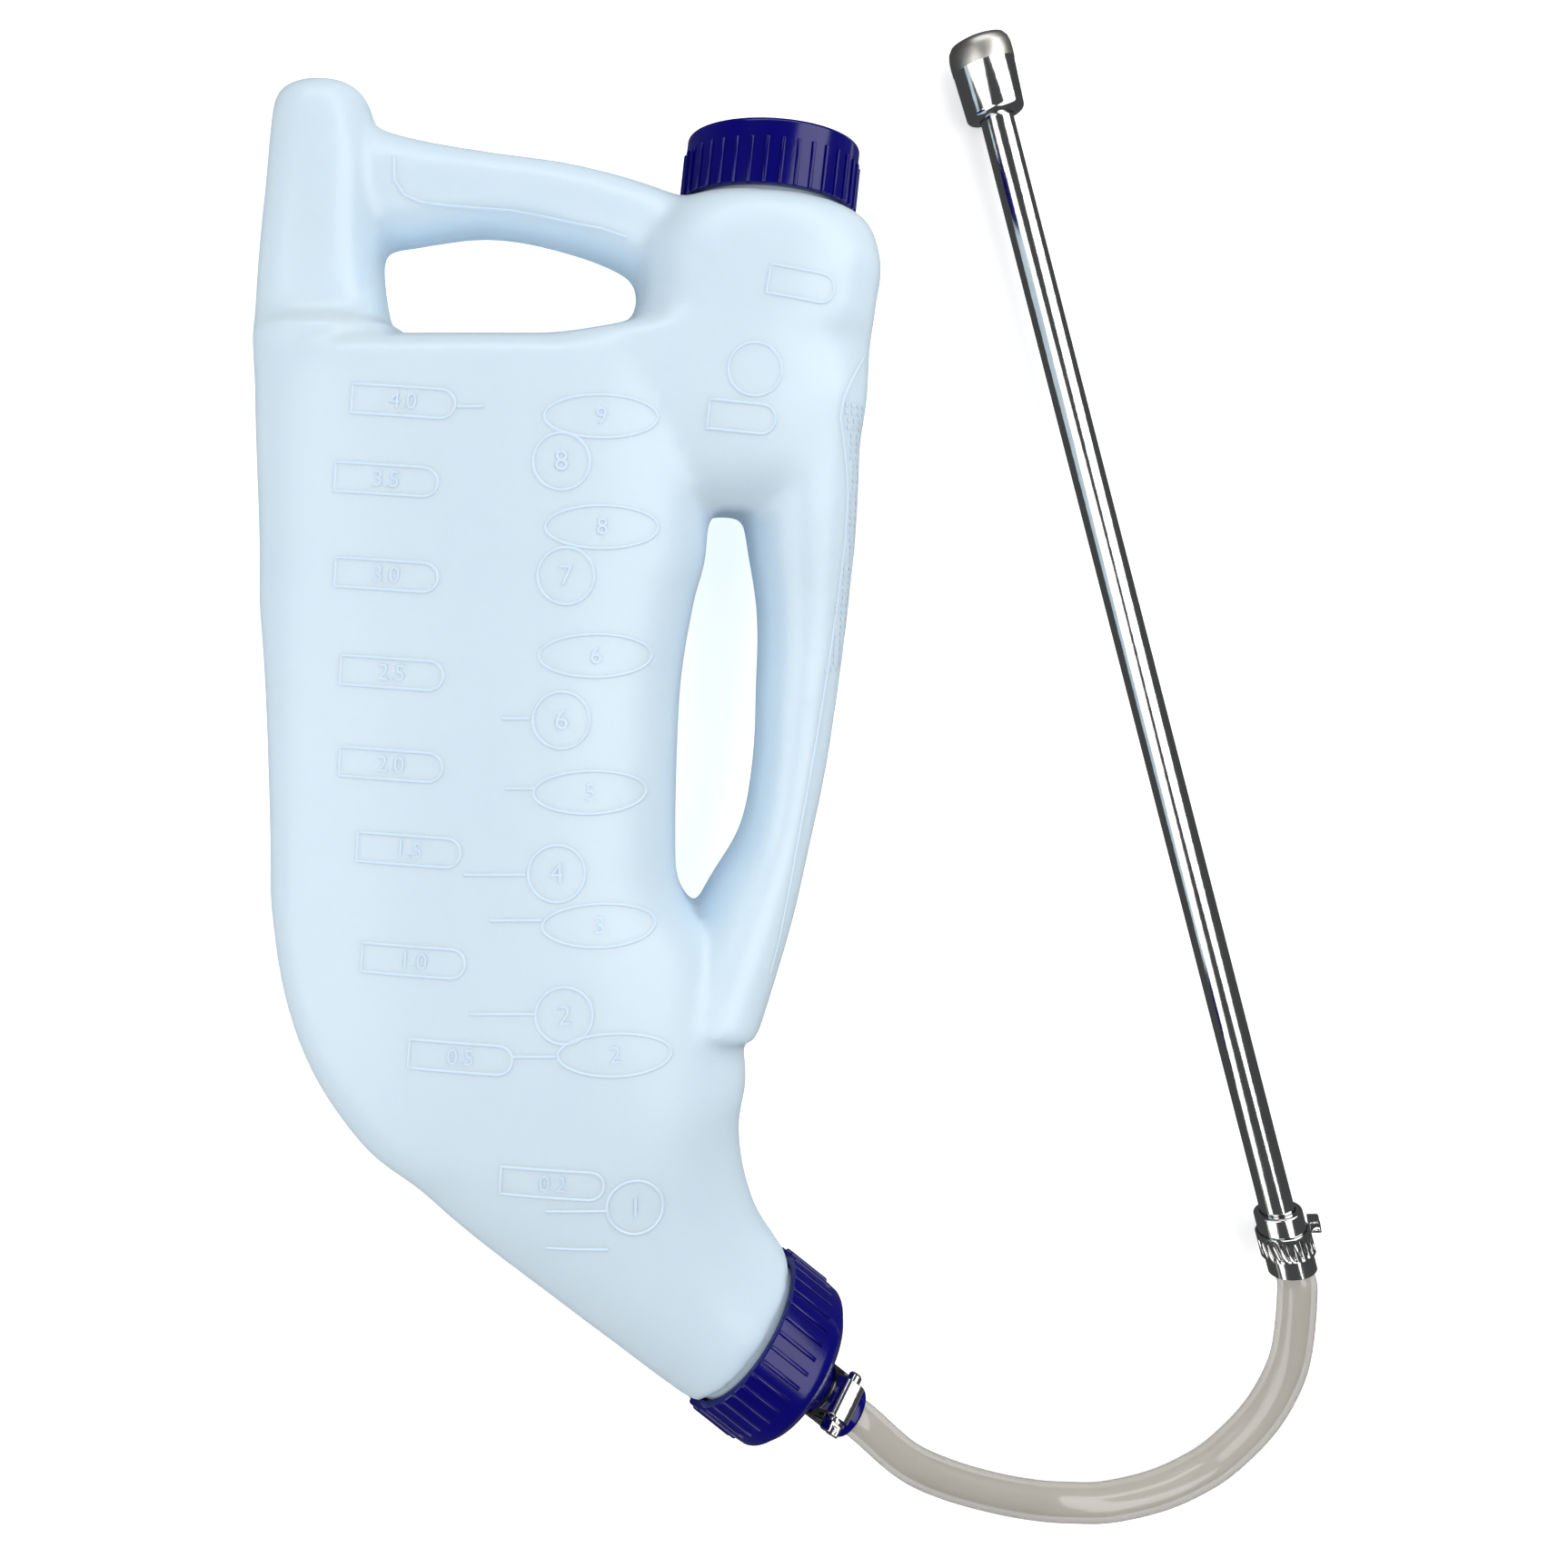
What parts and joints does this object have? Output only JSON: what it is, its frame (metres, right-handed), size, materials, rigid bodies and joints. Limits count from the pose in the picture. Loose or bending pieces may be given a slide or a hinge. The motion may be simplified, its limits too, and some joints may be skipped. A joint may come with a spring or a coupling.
{
  "type": "calf drencher",
  "caption": "Translucent feeding bottle with two moulded handles, screw caps, a clear hose held by worm-drive clamps and a steel oral probe with a rounded head.",
  "frame": {"origin": "on the bottle's flat back panel, at the middle of the tank's width", "axes": "+Z out of the front panel with the scale, +Y towards the fill cap, +X towards the side handle and the probe"},
  "size_m": [0.4159, 0.5938, 0.0889],
  "materials": {
    "milky_plastic": "translucent blow-moulded polyethylene, satin",
    "navy_plastic": "glossy moulded plastic",
    "white_foam": "closed-cell foam liner",
    "black_rubber": "matte",
    "clear_hose": "clear flexible vinyl",
    "steel": "polished stainless"
  },
  "bodies": {
    "base": {"bottle": "milky_plastic", "hose": "clear_hose", "probe_tube": "steel", "probe_head": "steel", "probe_ferrule": "steel", "probe_clamp_band": "steel", "probe_clamp_housing": "steel"},
    "fill_lift": {"fill_cap_seal": "white_foam"},
    "fill_turn": {"fill_cap": "navy_plastic"},
    "outlet_lift": {"outlet_gasket": "black_rubber"},
    "outlet_turn": {"outlet_cap": "navy_plastic", "outlet_clamp_band": "steel", "outlet_clamp_housing": "steel"},
    "outlet_screw": {"outlet_clamp_screw": "steel"},
    "probe_screw": {"probe_clamp_screw": "steel"}
  },
  "joints": [
    {"name": "fill_cap_rise", "type": "slide", "parent": "base", "child": "fill_lift", "axis": [0.1045, 0.9945, 0], "range_m": [0, 0.0075]},
    {"name": "fill_cap_turn", "type": "hinge", "parent": "fill_lift", "child": "fill_turn", "pos_m": [0.1104, 0.1798, 0.044], "axis": [0.1045, 0.9945, 0], "range_deg": [0, 540]},
    {"name": "outlet_cap_rise", "type": "slide", "parent": "base", "child": "outlet_lift", "axis": [0.7826, -0.6225, 0], "range_m": [0, 0.0075]},
    {"name": "outlet_cap_turn", "type": "hinge", "parent": "outlet_lift", "child": "outlet_turn", "pos_m": [0.1002, -0.238, 0.044], "axis": [0.7826, -0.6225, 0], "range_deg": [0, 540]},
    {"name": "outlet_screw_turn", "type": "hinge", "parent": "outlet_turn", "child": "outlet_screw", "pos_m": [0.13713, -0.25952, 0.05607], "axis": [-0.5547, -0.6973, 0.454], "range_deg": [-1440, 360]},
    {"name": "probe_screw_turn", "type": "hinge", "parent": "base", "child": "probe_screw", "pos_m": [0.32391, -0.21649, 0.00704], "axis": [0.8547, 0.2216, 0.4694], "range_deg": [-1440, 360]}
  ],
  "couplings": [
    {"joint": "fill_cap_rise", "follows": "fill_cap_turn", "m_per_rad": 0.00079577},
    {"joint": "outlet_cap_rise", "follows": "outlet_cap_turn", "m_per_rad": 0.00079577}
  ]
}
